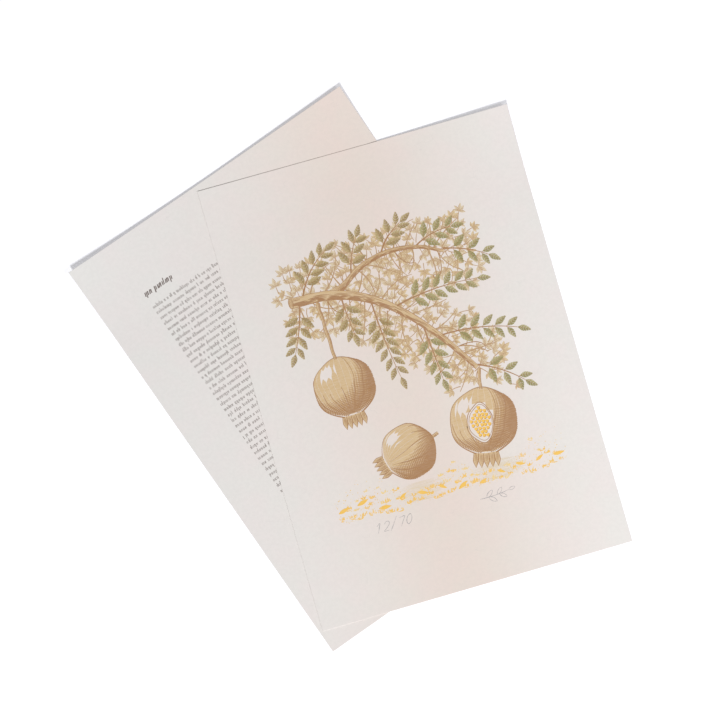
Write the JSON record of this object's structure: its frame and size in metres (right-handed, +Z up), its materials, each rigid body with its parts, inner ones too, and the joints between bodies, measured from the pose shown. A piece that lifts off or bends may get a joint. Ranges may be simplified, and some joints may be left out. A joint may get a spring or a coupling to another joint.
{
  "type": "art print with text sheet",
  "caption": "Loose portrait art print on heavy paper, laid over the turned text sheet that goes with it; top edges curl up slightly, with a printed fruiting branch in four ink colours.",
  "frame": {"origin": "middle of the table area that the two sheets cover, at the table's level", "axes": "+Z up from the table, +Y towards the print's top edge, +X towards the print's right edge"},
  "size_m": [0.507, 0.5874, 0.0076],
  "materials": {
    "print_paper": "matte, soft warm white",
    "text_paper": "matte, soft white",
    "brown_ink": "matte printing ink",
    "tan_ink": "matte printing ink",
    "olive_ink": "matte printing ink",
    "gold_ink": "matte printing ink"
  },
  "bodies": {
    "root": {"print_sheet": "print_paper", "text_sheet": "text_paper", "printed_limb_1": "brown_ink", "printed_limb_2": "brown_ink", "printed_spray_01": "olive_ink", "printed_spray_02": "olive_ink", "printed_spray_03": "olive_ink", "printed_spray_04": "olive_ink", "printed_spray_05": "olive_ink", "printed_spray_06": "olive_ink", "printed_spray_07": "olive_ink", "printed_spray_08": "olive_ink", "printed_spray_09": "olive_ink", "printed_spray_10": "olive_ink", "printed_spray_11": "olive_ink", "printed_spray_12": "olive_ink", "printed_fruit_1": "tan_ink", "printed_fruit_2": "tan_ink", "printed_fruit_3": "tan_ink", "printed_petal_01": "gold_ink", "printed_petal_02": "gold_ink", "printed_petal_03": "gold_ink", "printed_petal_04": "gold_ink", "printed_petal_05": "gold_ink", "printed_petal_06": "gold_ink", "printed_petal_07": "gold_ink", "printed_petal_08": "gold_ink", "printed_petal_09": "gold_ink", "printed_petal_10": "gold_ink", "printed_petal_11": "gold_ink", "printed_petal_12": "gold_ink"}
  },
  "joints": []
}
